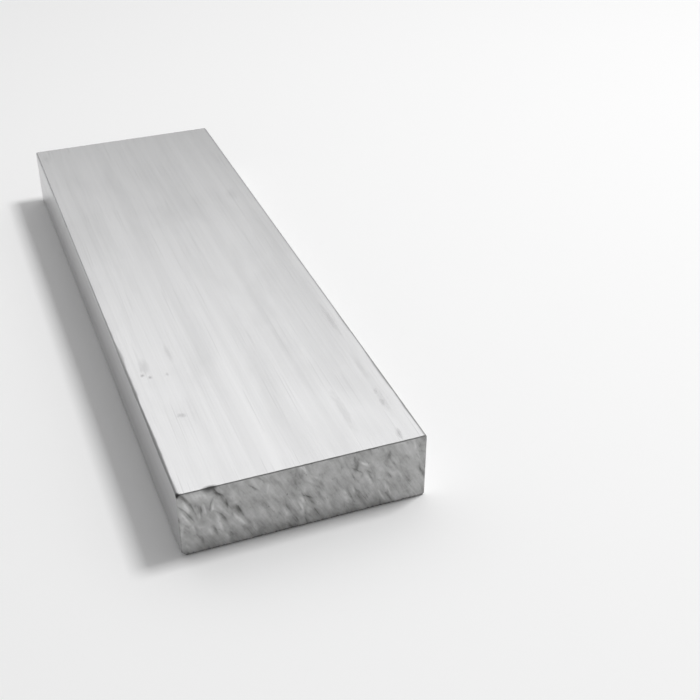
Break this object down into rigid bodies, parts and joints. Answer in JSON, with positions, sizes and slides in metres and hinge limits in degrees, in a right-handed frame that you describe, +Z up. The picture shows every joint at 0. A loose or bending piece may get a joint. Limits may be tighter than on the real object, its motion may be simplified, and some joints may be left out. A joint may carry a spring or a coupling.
{
  "type": "aluminium plate",
  "caption": "Thick flat aluminium plate with square section, slightly rounded long edges and rough sawn ends.",
  "frame": {"origin": "middle of the underside, on the surface that the plate lies on", "axes": "+X across the width, +Y along the length from the pictured sawn end to the far one, +Z up through the thickness"},
  "size_m": [0.1, 0.32, 0.03],
  "materials": {
    "mill_aluminium": "bare mill finish, satin with faint lengthwise drawing lines; sawn ends rougher"
  },
  "bodies": {
    "root": {"plate": "mill_aluminium"}
  },
  "joints": []
}
